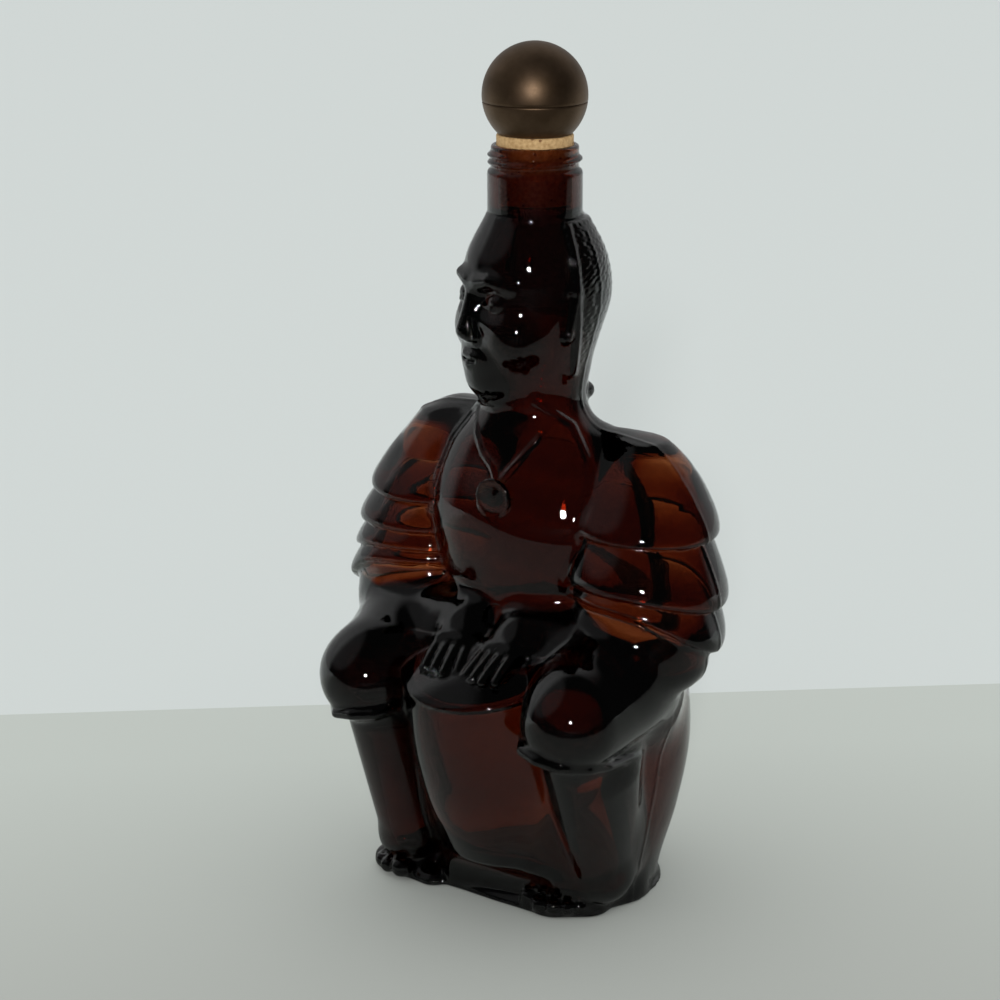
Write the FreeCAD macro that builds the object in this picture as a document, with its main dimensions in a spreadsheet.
import FreeCAD, Part
import os
import re
import Sketcher
from FreeCAD import Vector

# A stoppered glass bottle blown in the form of a seated drummer.
# The figure faces -Y, its left hand is on +X, and the bottle's axis is Z, with the table at Z = 0.
# All lengths are millimetres and all angles are degrees.
SIZES = {
    # The finish on the crown of the head, and the bore that the cork stops
    "lip_rise": 49,
    "lip_land": 3.3,
    "collar_radius": 15.6,
    "collar_height": 14.5,
    "groove_depth": 1.3,
    "groove_width": 1.4,
    "ridge_height": 3.4,
    "lip_rounding": 0.8,
    "bore_mouth_radius": 12.6,
    "bore_throat_radius": 10.9,
    "bore_depth": 23,
    # The glass
    "wall": 3.5,
    "floor_thickness": 6,
    "kick_depth": 3,
    "kick_radius": 24,
    # The head, turned towards the figure's right
    "head_rise": 24,
    "head_half_width": 23,
    "head_deepening": 1.5,
    "head_half_height": 33,
    "head_turn": 27,
    "bridge_radius": 2.2,
    "nose_radius": 3.6,
    "ear_radius": 3.4,
    "throat_radius": 17.3,
    "throat_back": 3,
    "nape_rise": 13,
    "nape_radius": 19,
    "nape_back": 3.2,
    # The garment from hips to collar, each level by its rise above the one below
    "hip_height": 84,
    "hip_half_depth": 38,
    "hip_broadening": 8,
    "hip_back": 6,
    "belly_rise": 28,
    "belly_half_depth": 35,
    "belly_broadening": 9,
    "belly_back": 4,
    "chest_rise": 31,
    "chest_half_depth": 29,
    "chest_broadening": 10,
    "chest_back": 2,
    "shoulder_rise": 17,
    "shoulder_half_depth": 21,
    "shoulder_broadening": 9,
    "collar_base_rise": 14,
    "collar_base_radius": 18,
    "throat_rise": 13,
    # The rounded shoulders and the draped sleeves below them
    "yoke_out": 12,
    "yoke_drop": 2,
    "yoke_radius": 17,
    "sleeve_head_out": 39,
    "sleeve_head_drop": 14,
    "shoulder_radius": 21.5,
    "sleeve_foot_out": 47,
    "sleeve_foot_rise": 5,
    "sleeve_radius": 23.5,
    "right_fold_radius": 24.93,
    "left_fold_radius": 23.5,
    "sleeve_head_wall": 6.7,
    "elbow_drop": 11,
    "fold_depth": 2.9,
    "right_bare_elbow": 14,
    "right_first_fold": 14.5,
    "right_second_fold": 12.5,
    "left_bare_elbow": 4,
    "left_first_fold": 14,
    "left_second_fold": 19,
    # Forearms and hands
    "elbow_out": 48,
    "elbow_forward": 10,
    "elbow_rise": 13,
    "elbow_radius": 12,
    "wrist_out": 10,
    "wrist_forward": 27,
    "wrist_rise": 17,
    "wrist_radius": 8,
    "palm_radius": 7.2,
    "hand_length": 20,
    "hand_spread": 6.5,
    "hand_droop": 9,
    "finger_radius": 2.5,
    # The drum between the knees, leaning forward
    "drum_forward": 30,
    "drum_lean": 12,
    "drum_foot_radius": 13,
    "drum_belly_radius": 28.5,
    "drum_belly_height": 56,
    "drum_rim_radius": 28.5,
    "drum_rim_rise": 4,
    "drum_rim_groove": 1.5,
    "drum_head_rise": 8,
    # Thighs, knees, trouser hems, shins and feet
    "hip_out": 24,
    "thigh_radius": 20,
    "knee_out": 39.5,
    "knee_forward": 42.5,
    "knee_drop": 1,
    "knee_radius": 14.5,
    "hem_drop": 12,
    "hem_flare": 1.5,
    "shin_setback": 5,
    "shin_radius": 12.5,
    "calf_drop": 12,
    "calf_forward": 22,
    "calf_radius": 15.5,
    "calf_setback": 6,
    "ankle_height": 15,
    "ankle_radius": 10,
    "right_ankle_out": 40,
    "right_ankle_forward": 16,
    "left_ankle_out": 32,
    "left_ankle_forward": 7,
    "right_foot_out": 36,
    "left_foot_out": 20,
    "foot_forward": 11,
    "foot_radius": 11,
    "heel_radius": 10,
    "foot_sink": 1.5,
    "toe_turn": 20,
    "toe_step": 26,
    "toe_radius": 3.2,
    "toe_height": 1.6,
    # The round seat that forms the back of the base
    "seat_back": 9.4,
    "seat_foot_radius": 37.5,
    "seat_radius": 49,
    "seat_belly_height": 56,
    "seat_top_radius": 42,
    "seat_lap": 10,
    # The stopper: a cork with a hollow brass ball screwed to it
    "cork_depth": 19,
    "cork_show": 3,
    "cork_clearance": 0.08,
    "knob_radius": 17.2,
    "knob_wall": 1,
    "knob_seat_radius": 11.8,
    "knob_seam_drop": 2,
    "lap_height": 2.5,
    "lap_clearance": 0.05,
    "screw_radius": 1.75,
    "screw_length": 15,
    "screw_head_radius": 3.6,
    "screw_head_height": 2.4,
    "washer_radius": 6,
    "washer_thickness": 0.8,
    "screw_clearance": 0.05,
}

SIDES = {"right": -1, "left": 1}
# Where the fingers and toes sit across a hand or foot, counted from its middle
FINGER_PLACES = (-1, -0.33, 0.33, 1)
TOE_PLACES = (-2, -1, 0, 1, 2)
# How far along a hand its fingers rise from the palm and its knuckles lie, as shares of the hand's length,
# and how far the knuckles have sunk there, as a share of the hand's droop
FINGER_ROOT = 0.3
KNUCKLES = 0.45
KNUCKLE_DROOP = 0.3
# The tip of a finger, toe or ear, as a share of the radius at its root
PEG_TAPER = 0.75
# The head's sections from chin to crown, as shares of its half height and its girth, with a shift forward
HEAD_LEVELS = (
    (-1, 0.68, 0.06),
    (-0.75, 0.79, 0.12),
    (-0.4, 0.91, 0.08),
    (0, 1, 0),
    (0.4, 0.93, 0),
    (0.8, 0.66, 0),
)
# Points on the head as shares of its half width to the side and forward, and of its half height upward
NOSE_BRIDGE = (0, 0.98, 0.1)
NOSE_TIP = (0, 1.08, -0.2)
EAR_TOP = (0.98, -0.15, 0.08)
EAR_LOBE = (0.92, -0.05, -0.22)
# Height of the middle of a quarter circle's arc, as a share of its radius
ARC_MIDDLE = 0.70710678
# The heights of the figure's levels, each worked out from the one that carries it
BELLY_HEIGHT = "(hip_height + belly_rise)"
CHEST_HEIGHT = f"({BELLY_HEIGHT} + chest_rise)"
SHOULDER_HEIGHT = f"({CHEST_HEIGHT} + shoulder_rise)"
COLLAR_BASE_HEIGHT = f"({SHOULDER_HEIGHT} + collar_base_rise)"
THROAT_HEIGHT = f"({COLLAR_BASE_HEIGHT} + throat_rise)"
HEAD_HEIGHT = f"({THROAT_HEIGHT} + head_rise)"
LIP_HEIGHT = f"({HEAD_HEIGHT} + lip_rise)"
YOKE_HEIGHT = f"({SHOULDER_HEIGHT} - yoke_drop)"
SLEEVE_HEAD_HEIGHT = f"({SHOULDER_HEIGHT} - sleeve_head_drop)"
SLEEVE_FOOT_HEIGHT = "(hip_height + sleeve_foot_rise)"
ELBOW_HEIGHT = "(hip_height + elbow_rise)"
WRIST_HEIGHT = "(hip_height + wrist_rise)"
DRUM_RIM_HEIGHT = "(hip_height + drum_rim_rise)"
KNEE_HEIGHT = "(hip_height - knee_drop)"
HEM_HEIGHT = f"({KNEE_HEIGHT} - hem_drop)"
SEAT_TOP_HEIGHT = "(hip_height + seat_lap)"
# How much the bore widens for each millimetre upward, the hole that the screw passes, where the ball rests
# on the cork, and how far the ball's centre lies above that
BORE_SLOPE = "(bore_mouth_radius - bore_throat_radius) / bore_depth"
SCREW_HOLE = "screw_radius + screw_clearance"
KNOB_FOOT = f"{LIP_HEIGHT} + cork_show"
KNOB_CENTRE = "sqrt(knob_radius * knob_radius - knob_seat_radius * knob_seat_radius)"

doc = FreeCAD.newDocument("decanter")
sheet = doc.addObject("Spreadsheet::Sheet", "sizes")
for row, (alias, size) in enumerate(SIZES.items(), start=1):
    sheet.set(f"A{row}", alias)
    sheet.set(f"B{row}", str(size))
    sheet.setAlias(f"B{row}", alias)
doc.recompute()


def formula(text):
    """Point every named size in a formula at its cell."""
    words = "|".join(SIZES)
    return re.sub(rf"\b({words})\b", r"sizes.\1", text)


def worth(text):
    """The present value of a formula."""
    return float(sheet.evalExpression(formula(text)))


def bind(item, **rules):
    """Drive properties of an object by formulas of the named sizes."""
    for name, text in rules.items():
        item.setExpression(name, formula(text))


def place(item, centre, axis=("0", "0", "1"), angle="0"):
    """Put an object at a point, turned by an angle about an axis."""
    spot = "vector({}; {}; {})".format(*centre)
    turn = "rotation(vector({}; {}; {}); {})".format(*axis, angle)
    item.setExpression("Placement", formula(f"placement({spot}; {turn})"))


def pin(sketch, geometry, point, name, across, up):
    """Fix one sketch point at formulas for its distance from the axis and its height."""
    for kind, axis, text in (("DistanceX", -2, across), ("DistanceY", -1, up)):
        if text == "0":
            sketch.addConstraint(Sketcher.Constraint("PointOnObject", geometry, point, axis))
            continue
        number = sketch.addConstraint(Sketcher.Constraint(kind, -1, 1, geometry, point, worth(text)))
        sketch.renameConstraint(number, f"{name}_{kind}")
        sketch.setExpression(f"Constraints.{name}_{kind}", formula(text))


def turned(label, outline):
    """A body turned about its own Z axis.

    The outline runs from one point on the axis to another. Each entry is a corner (across, up), or
    (across, up, "through") for a point that the arc between its two neighbours passes through.
    """
    body = doc.addObject("PartDesign::Body", label)
    body.Label = label
    sketch = body.newObject("Sketcher::SketchObject", label + "_outline")
    plane = next(item for item in body.Origin.OriginFeatures if item.Role == "XZ_Plane")
    sketch.AttachmentSupport = (plane, [""])
    sketch.MapMode = "FlatFace"
    spots = [Vector(worth(entry[0]), worth(entry[1]), 0) for entry in outline]
    corners = [index for index, entry in enumerate(outline) if len(entry) == 2]
    ends = []
    for first, last in zip(corners, corners[1:]):
        if last - first == 1:
            edge = sketch.addGeometry(Part.LineSegment(spots[first], spots[last]))
            ends.append((edge, 1, 2))
            continue
        middle = first + 1
        edge = sketch.addGeometry(Part.Arc(spots[first], spots[middle], spots[last]))
        forward = sketch.getPoint(edge, 1).isEqual(spots[first], 1e-6)
        ends.append((edge, 1, 2) if forward else (edge, 2, 1))
        guide = sketch.addGeometry(Part.Point(spots[middle]), True)
        sketch.addConstraint(Sketcher.Constraint("PointOnObject", guide, 1, edge))
        pin(sketch, guide, 1, f"through_{middle}", *outline[middle][:2])
    shaft = sketch.addGeometry(Part.LineSegment(spots[-1], spots[0]))
    ends.append((shaft, 1, 2))
    for (edge, _, finish), (following, start, _) in zip(ends, ends[1:] + ends[:1]):
        sketch.addConstraint(Sketcher.Constraint("Coincident", edge, finish, following, start))
    for (edge, start, _), index in zip(ends, corners):
        pin(sketch, edge, start, f"corner_{index}", *outline[index])
    solid = body.newObject("PartDesign::Revolution", label + "_turning")
    solid.Profile = sketch
    solid.ReferenceAxis = (sketch, ["V_Axis"])
    solid.Angle = 360
    return body


def dome(radius, rise):
    """A point on a ball-shaped cap, halfway out from its crown, as (across, height above the cap's edge)."""
    ball = f"((({radius}) * ({radius}) + ({rise}) * ({rise})) / (2 * ({rise})))"
    half = f"(({radius}) / 2)"
    return half, f"{rise} - {ball} + sqrt({ball} * {ball} - {half} * {half})"


def span(start, end):
    """The way from one point to another along X, Y and Z, and its length."""
    run = [f"({last} - ({first}))" for first, last in zip(start, end)]
    return run, "sqrt({0} * {0} + {1} * {1} + {2} * {2})".format(*run)


def aim(item, start, run, length):
    """Put an object at a point with its own Z axis along a run."""
    place(item, start, axis=(f"-{run[1]}", run[0], "0"), angle=f"acos({run[2]} / {length})")


def limb(label, start, end, start_radius, end_radius):
    """A tapering limb with a round end at each of two points."""
    run, length = span(start, end)
    body = turned(label, [
        ("0", f"-({start_radius})"),
        (f"({start_radius}) * {ARC_MIDDLE}", f"-({start_radius}) * {ARC_MIDDLE}", "through"),
        (start_radius, "0"),
        (end_radius, length),
        (f"({end_radius}) * {ARC_MIDDLE}", f"{length} + ({end_radius}) * {ARC_MIDDLE}", "through"),
        ("0", f"{length} + {end_radius}"),
    ])
    aim(body, start, run, length)
    return body


def peg(label, start, end, radius):
    """A small tapering peg between two points, such as a finger or a toe."""
    run, length = span(start, end)
    item = doc.addObject("Part::Cone", label)
    bind(item, Radius1=radius, Radius2=f"{radius} * {PEG_TAPER}", Height=length)
    aim(item, start, run, length)
    return item


def lofted(label, levels, inset, turn="0"):
    """A form lofted upward through ellipses, or with an inset the hollow inside it.

    Each level is (short half axis, what the long half axis has more, height, shift towards the back).
    The long axis lies along X, or as far from it as the turn says.
    """
    sections = []
    for number, (short, more, height, back) in enumerate(levels):
        section = doc.addObject("Part::Ellipse", f"{label}_section_{number}")
        bind(section, MajorRadius=f"{short} + {more} - {inset}", MinorRadius=f"{short} - {inset}")
        place(section, ("0", back, height), angle=turn)
        sections.append(section)
    item = doc.addObject("Part::Loft", label)
    item.Sections = sections
    item.Solid = True
    return item


def joined(label, pieces):
    """Several forms melted into one solid."""
    item = doc.addObject("Part::MultiFuse", label)
    item.Label = label
    item.Shapes = pieces
    return item


def cut(label, base, tool):
    """One form with another taken out of it."""
    item = doc.addObject("Part::Cut", label)
    item.Label = label
    item.Base = base
    item.Tool = tool
    return item


def seat(label, inset, foot):
    """The round seat, bellied like a barrel, or with an inset the hollow inside it."""
    return lofted(label, (
        ("seat_foot_radius", "0", foot, "seat_back"),
        ("seat_radius", "0", "seat_belly_height", "seat_back"),
        ("seat_top_radius", "0", f"{SEAT_TOP_HEIGHT} - {inset}", "seat_back"),
    ), inset)


def garment(label, inset):
    """The robe from hips to throat, or with an inset the hollow inside it."""
    return lofted(label, (
        ("hip_half_depth", "hip_broadening", "hip_height", "hip_back"),
        ("belly_half_depth", "belly_broadening", BELLY_HEIGHT, "belly_back"),
        ("chest_half_depth", "chest_broadening", CHEST_HEIGHT, "chest_back"),
        ("shoulder_half_depth", "shoulder_broadening", SHOULDER_HEIGHT, "0"),
        ("collar_base_radius", "0", COLLAR_BASE_HEIGHT, "0"),
        ("throat_radius", "0", THROAT_HEIGHT, "throat_back"),
        ("nape_radius", "0", f"{THROAT_HEIGHT} + nape_rise", "nape_back"),
    ), inset)


def shoulder(label, side):
    """A rounded shoulder from the root of the neck out to the sleeve."""
    root = (f"{side} * yoke_out", "0", YOKE_HEIGHT)
    tip = (f"{side} * sleeve_head_out", "0", SLEEVE_HEAD_HEIGHT)
    return limb(label, root, tip, "yoke_radius", "shoulder_radius")


def sleeve(name, side):
    """One draped sleeve: the bare elbow, and above it three folds, each of its own height, up to the shoulder."""
    run = ("(sleeve_head_out - sleeve_foot_out)", f"({SLEEVE_HEAD_HEIGHT} - {SLEEVE_FOOT_HEIGHT})")
    length = "sqrt({0} * {0} + {1} * {1})".format(*run)
    crease = "(sleeve_radius - fold_depth)"
    halfway, depth = dome(crease, "elbow_drop")
    hem = f"{name}_bare_elbow"
    lower = f"({hem} + {name}_first_fold)"
    upper = f"({lower} + {name}_second_fold)"
    outline = [
        ("0", "-elbow_drop"),
        (halfway, f"-({depth})", "through"),
        (crease, "0"),
        (crease, hem),
    ]
    for foot, top in ((hem, lower), (lower, upper), (upper, length)):
        outline.append((f"{name}_fold_radius", f"({foot} + {top}) / 2", "through"))
        outline.append((crease, top))
    outline.append(("0", length))
    body = turned(f"{name}_sleeve", outline)
    place(body, (f"{side} * sleeve_foot_out", "0", SLEEVE_FOOT_HEIGHT),
          axis=("0", "1", "0"), angle=f"{side} * atan({run[0]} / {run[1]})")
    return body


def sleeve_hollow(label, side):
    """The hollow inside a sleeve, below the creases of its folds."""
    core = "sleeve_radius - fold_depth - wall"
    upper = (f"{side} * sleeve_head_out", "0", f"{SLEEVE_HEAD_HEIGHT} - wall")
    lower = (f"{side} * sleeve_foot_out", "0", f"{SLEEVE_FOOT_HEIGHT} + wall")
    return limb(label, lower, upper, core, "shoulder_radius - sleeve_head_wall")


def hand(name, side):
    """A hand that lies on the drum, with four fingers pointing forward."""
    wrist = (f"{side} * wrist_out", "-wrist_forward", WRIST_HEIGHT)
    knuckle_height = f"{WRIST_HEIGHT} - hand_droop * {KNUCKLE_DROOP}"
    knuckles = (f"{side} * wrist_out", f"-wrist_forward - hand_length * {KNUCKLES}", knuckle_height)
    pieces = [limb(f"{name}_palm", wrist, knuckles, "palm_radius", "hand_spread")]
    for number, share in enumerate(FINGER_PLACES):
        across = f"{side} * wrist_out + {share} * hand_spread"
        root = (across, f"-wrist_forward - hand_length * {FINGER_ROOT}", knuckle_height)
        tip = (across, "-wrist_forward - hand_length", f"{WRIST_HEIGHT} - hand_droop")
        pieces.append(peg(f"{name}_finger_{number}", root, tip, "finger_radius"))
    return pieces


def foot(name, side):
    """A bare foot below its ankle, with five toes round its front edge and the big toe foremost."""
    ball = (f"{side} * {name}_out", "-foot_forward", "-foot_sink")
    heel = (f"{side} * {name.replace('foot', 'ankle')}_out", "0", "-foot_sink")
    pieces = [limb(f"{name}_sole", heel, ball, "heel_radius", "foot_radius")]
    for number, share in enumerate(TOE_PLACES):
        way = f"({side} * (toe_turn + {share} * toe_step))"
        root, tip = [(f"{ball[0]} + {reach} * sin{way}", f"{ball[1]} - {reach} * cos{way}", "toe_height")
                     for reach in ("(foot_radius - toe_radius)", "(foot_radius + toe_radius)")]
        pieces.append(peg(f"{name}_toe_{number}", root, tip, "toe_radius"))
    return pieces


def drum(label, inset, foot):
    """The barrel drum with a groove under its rounded head, or with an inset the hollow inside it."""
    groove = "drum_rim_radius - drum_rim_groove"
    barrel = lofted(f"{label}_barrel", (
        ("drum_foot_radius", "0", f"{foot} - {DRUM_RIM_HEIGHT}", "0"),
        ("drum_belly_radius", "0", f"drum_belly_height - {DRUM_RIM_HEIGHT}", "0"),
        (groove, "0", "drum_rim_groove", "0"),
    ), inset)
    rim = f"drum_rim_radius - {inset}"
    rim_foot = "drum_rim_groove" if inset == "0" else "-drum_rim_groove"
    rim_top = f"drum_rim_groove * 2 - {inset}"
    halfway, height = dome(rim, "drum_head_rise")
    skin = turned(f"{label}_head", [
        ("0", f"{rim_foot} - drum_head_rise"),
        (f"({rim}) * {ARC_MIDDLE}", f"{rim_foot} - drum_head_rise"),
        (rim, rim_foot),
        (rim, rim_top),
        (halfway, f"{rim_top} + {height}", "through"),
        ("0", f"{rim_top} + drum_head_rise"),
    ])
    for item in (barrel, skin):
        place(item, ("0", "-drum_forward", DRUM_RIM_HEIGHT), axis=("1", "0", "0"), angle="drum_lean")
    return [barrel, skin]


def thigh(label, side, inset):
    """A thigh from hip to knee, or with an inset the hollow inside it."""
    hip = (f"{side} * hip_out", "0", "hip_height")
    knee = (f"{side} * knee_out", "-knee_forward", KNEE_HEIGHT)
    return limb(label, hip, knee, f"thigh_radius - {inset}", f"knee_radius - {inset}")


def lower_leg(name, side):
    """The trouser leg that flares to a hem below the knee, and the bare shin with its calf."""
    hem = doc.addObject("Part::Cone", f"{name}_hem")
    bind(hem, Radius1="knee_radius + hem_flare", Radius2="knee_radius", Height="hem_drop")
    place(hem, (f"{side} * knee_out", "-knee_forward", HEM_HEIGHT))
    top = (f"{side} * knee_out", "-knee_forward + shin_setback", HEM_HEIGHT)
    ankle = (f"{side} * {name}_ankle_out", f"-{name}_ankle_forward", "ankle_height")
    calf_top = (f"{side} * knee_out", "-calf_forward", f"{HEM_HEIGHT} - calf_drop")
    calf_foot = (ankle[0], f"{ankle[1]} + calf_setback", "ankle_height")
    return [
        hem,
        limb(f"{name}_shin", top, ankle, "shin_radius", "ankle_radius"),
        limb(f"{name}_calf", calf_top, calf_foot, "calf_radius", "ankle_radius"),
    ]


def skull(label, inset):
    """The head from chin to crown, or with an inset the hollow inside it."""
    levels = []
    for rise, girth, forward in HEAD_LEVELS:
        levels.append((f"head_half_width * {girth}", f"head_deepening * {girth}",
                       f"{HEAD_HEIGHT} + head_half_height * {rise}", f"-head_half_width * {forward}"))
    return lofted(label, levels, inset, turn="90")


def on_head(spot, side):
    """A point given in shares of the head's size, on one side of it."""
    out, forward, rise = spot
    return (f"{side} * head_half_width * {out}", f"-head_half_width * {forward}",
            f"{HEAD_HEIGHT} + head_half_height * {rise}")


def head():
    """The head, its nose and its ears about the head's own upright axis, then turned as a whole."""
    nose = limb("nose", on_head(NOSE_BRIDGE, 1), on_head(NOSE_TIP, 1), "bridge_radius", "nose_radius")
    pieces = [skull("skull", "0"), nose]
    for name, side in SIDES.items():
        pieces.append(peg(f"{name}_ear", on_head(EAR_TOP, side), on_head(EAR_LOBE, side), "ear_radius"))
    group = joined("head", pieces)
    place(group, ("0", "0", "0"), angle="-head_turn")
    return group


def head_hollow():
    """The hollow inside the head, turned with it."""
    item = skull("head_hollow", "wall")
    place(item, ("0", "0", "0"), angle="-head_turn")
    return item


def finish():
    """The moulded finish: collar, groove, ridge under the lip, and the rounded lip."""
    waist = "collar_radius - groove_depth"
    ridge_top = f"{LIP_HEIGHT} - lip_land"
    ridge_foot = f"{ridge_top} - ridge_height"
    collar_top = f"{ridge_foot} - groove_width"
    collar_foot = f"{collar_top} - collar_height"
    foot_height = f"{collar_foot} - groove_width - wall * 2"
    return turned("finish", [
        ("0", foot_height),
        (waist, foot_height),
        (waist, f"{collar_foot} - groove_width"),
        ("collar_radius", collar_foot),
        ("collar_radius", f"{collar_top} - groove_width / 2"),
        (waist, f"{collar_top} + groove_width / 2"),
        (waist, ridge_foot),
        ("collar_radius", f"{ridge_foot} + ridge_height / 3"),
        ("collar_radius", f"{ridge_top} - ridge_height / 3"),
        (waist, ridge_top),
        (f"{waist} + lip_rounding / 2", f"{LIP_HEIGHT} - lip_rounding * 2"),
        (f"{waist} - lip_rounding", LIP_HEIGHT),
        ("0", LIP_HEIGHT),
    ])


def bore():
    """The tapered bore, from past the lip down into the hollow of the head."""
    return turned("bore", [
        ("0", f"{LIP_HEIGHT} - bore_depth - wall * 3"),
        ("bore_throat_radius", f"{LIP_HEIGHT} - bore_depth - wall * 3"),
        ("bore_throat_radius", f"{LIP_HEIGHT} - bore_depth"),
        (f"bore_mouth_radius + {BORE_SLOPE} * wall", f"{LIP_HEIGHT} + wall"),
        ("0", f"{LIP_HEIGHT} + wall"),
    ])


def glass_bottle():
    """The blown bottle: the fused outer forms with a flat base, less the fused hollows a wall smaller."""
    outer = [seat("seat", "0", "0"), garment("robe", "0"), head(), finish()]
    outer.extend(drum("drum", "0", "-foot_sink"))
    hollows = [seat("seat_hollow", "wall", "floor_thickness + kick_depth"), garment("robe_hollow", "wall"),
               head_hollow(), bore()]
    hollows.extend(drum("drum_hollow", "wall", "floor_thickness * 3"))
    for name, side in SIDES.items():
        elbow = (f"{side} * elbow_out", "-elbow_forward", ELBOW_HEIGHT)
        wrist = (f"{side} * wrist_out", "-wrist_forward", WRIST_HEIGHT)
        outer.append(shoulder(f"{name}_shoulder", side))
        outer.append(sleeve(name, side))
        outer.append(limb(f"{name}_forearm", elbow, wrist, "elbow_radius", "wrist_radius"))
        outer.extend(hand(f"{name}_hand", side))
        outer.append(thigh(f"{name}_thigh", side, "0"))
        outer.extend(lower_leg(name, side))
        outer.extend(foot(f"{name}_foot", side))
        hollows.append(sleeve_hollow(f"{name}_sleeve_hollow", side))
        hollows.append(thigh(f"{name}_thigh_hollow", side, "wall"))
    table = doc.addObject("Part::Box", "table")
    reach = "(knee_out + knee_forward + knee_radius)"
    bind(table, Length=f"{reach} * 2", Width=f"{reach} * 2", Height="foot_radius + foot_sink + wall")
    place(table, (f"-{reach}", f"-{reach}", "-foot_radius - foot_sink - wall"))
    kick = doc.addObject("Part::Sphere", "kick")
    # A shallow dome pressed up into the base, so that the bottle stands on a ring
    kick_sphere = "((kick_radius * kick_radius + kick_depth * kick_depth) / (2 * kick_depth))"
    bind(kick, Radius=kick_sphere)
    place(kick, ("0", "seat_back", f"kick_depth - {kick_sphere}"))
    standing = cut("standing_figure", joined("figure", outer), joined("below", [table, kick]))
    return cut("glass_bottle", standing, joined("hollow", hollows))


def cork():
    """The tapered cork, with a pilot hole for the screw."""
    top = "bore_mouth_radius - cork_clearance"
    body = turned("cork", [
        ("0", "-cork_depth"),
        (f"{top} - {BORE_SLOPE} * cork_depth", "-cork_depth"),
        (f"{top} + {BORE_SLOPE} * cork_show", "cork_show"),
        (SCREW_HOLE, "cork_show"),
        (SCREW_HOLE, "cork_show - screw_length - screw_clearance"),
        ("0", "cork_show - screw_length - screw_clearance"),
    ])
    place(body, ("0", "0", LIP_HEIGHT))
    return body


def ball_point(radius, height):
    """Distance from the axis of a ball's surface at a height above the ball's centre."""
    return f"sqrt(({radius}) * ({radius}) - ({height}) * ({height}))"


def knob_shells():
    """The two pressed halves of the hollow ball: the lower one has a lap that the upper one slips over."""
    inner = "(knob_radius - knob_wall)"
    seam = f"({KNOB_CENTRE} - knob_seam_drop)"
    lap_outside = "(knob_radius - knob_wall - lap_clearance)"
    lap_inside = "(knob_radius - knob_wall * 2)"
    upper = turned("knob_upper_shell", [
        ("0", f"{KNOB_CENTRE} + {inner}"),
        (f"{inner} * {ARC_MIDDLE}", f"{KNOB_CENTRE} + {inner} * {ARC_MIDDLE}", "through"),
        (ball_point(inner, "knob_seam_drop"), seam),
        (ball_point("knob_radius", "knob_seam_drop"), seam),
        (f"knob_radius * {ARC_MIDDLE}", f"{KNOB_CENTRE} + knob_radius * {ARC_MIDDLE}", "through"),
        ("0", f"{KNOB_CENTRE} + knob_radius"),
    ])
    lap_top = f"{seam} + lap_height"
    lap_reach = ball_point(lap_outside, "knob_seam_drop")
    lap_core = ball_point(lap_inside, "knob_seam_drop")
    lower = turned("knob_lower_pressing", [
        ("0", "0"),
        ("knob_seat_radius", "0"),
        (ball_point("knob_radius", "knob_seam_drop * 2"), f"{KNOB_CENTRE} - knob_seam_drop * 2", "through"),
        (ball_point("knob_radius", "knob_seam_drop"), f"{seam} - lap_clearance"),
        (lap_reach, f"{seam} - lap_clearance"),
        (ball_point(lap_outside, "knob_seam_drop - lap_height"), lap_top),
        (ball_point(lap_inside, "knob_seam_drop - lap_height"), lap_top),
        (lap_core, seam),
        (ball_point(lap_inside, "knob_seam_drop * 2"), f"{KNOB_CENTRE} - knob_seam_drop * 2", "through"),
        (ball_point(lap_inside, f"{KNOB_CENTRE} - knob_wall"), "knob_wall"),
        ("0", "knob_wall"),
    ])
    for shell in (upper, lower):
        place(shell, ("0", "0", KNOB_FOOT))
    drill = doc.addObject("Part::Cylinder", "screw_hole")
    bind(drill, Radius=SCREW_HOLE, Height="knob_wall * 4")
    place(drill, ("0", "0", f"{KNOB_FOOT} - knob_wall"))
    return upper, cut("knob_lower_shell", lower, drill)


def knob_washer():
    """The washer that spreads the screw's pull over the floor of the ball."""
    ring = turned("washer_blank", [
        ("0", "0"),
        ("washer_radius", "0"),
        ("washer_radius", "washer_thickness"),
        ("0", "washer_thickness"),
    ])
    place(ring, ("0", "0", f"{KNOB_FOOT} + knob_wall"))
    drill = doc.addObject("Part::Cylinder", "washer_hole")
    bind(drill, Radius=SCREW_HOLE, Height="washer_thickness * 3")
    place(drill, ("0", "0", f"{KNOB_FOOT} + knob_wall - washer_thickness"))
    return cut("knob_washer", ring, drill)


def knob_screw():
    """The round-headed screw through washer and ball into the cork."""
    under_head = "knob_wall + washer_thickness"
    halfway, height = dome("screw_head_radius", "screw_head_height")
    body = turned("knob_screw", [
        ("0", "-screw_length"),
        ("screw_radius", "-screw_length + screw_radius * 2"),
        ("screw_radius", under_head),
        ("screw_head_radius", under_head),
        (halfway, f"{under_head} + {height}", "through"),
        ("0", f"{under_head} + screw_head_height"),
    ])
    place(body, ("0", "0", KNOB_FOOT))
    return body


def check(items):
    """Stop if any object failed to build or any sub-part is empty or not valid."""
    for item in doc.Objects:
        if "Invalid" in item.State or "Error" in item.State:
            raise RuntimeError(f"{item.Label} did not build")
    for node, item in items.items():
        if item.Shape.isNull() or not item.Shape.isValid():
            raise RuntimeError(f"{node} is not a valid solid")


upper_shell, lower_shell = knob_shells()
SUBPARTS = {
    "glass_bottle": glass_bottle(),
    "cork": cork(),
    "knob_upper_shell": upper_shell,
    "knob_lower_shell": lower_shell,
    "knob_screw": knob_screw(),
    "knob_washer": knob_washer(),
}
doc.recompute()
check(SUBPARTS)
os.makedirs("parts", exist_ok=True)
for node, item in SUBPARTS.items():
    item.Shape.exportStep(f"parts/{node}.step")
    print(node, len(item.Shape.Solids), "solid", round(item.Shape.Volume), "mm3", item.Shape.BoundBox)
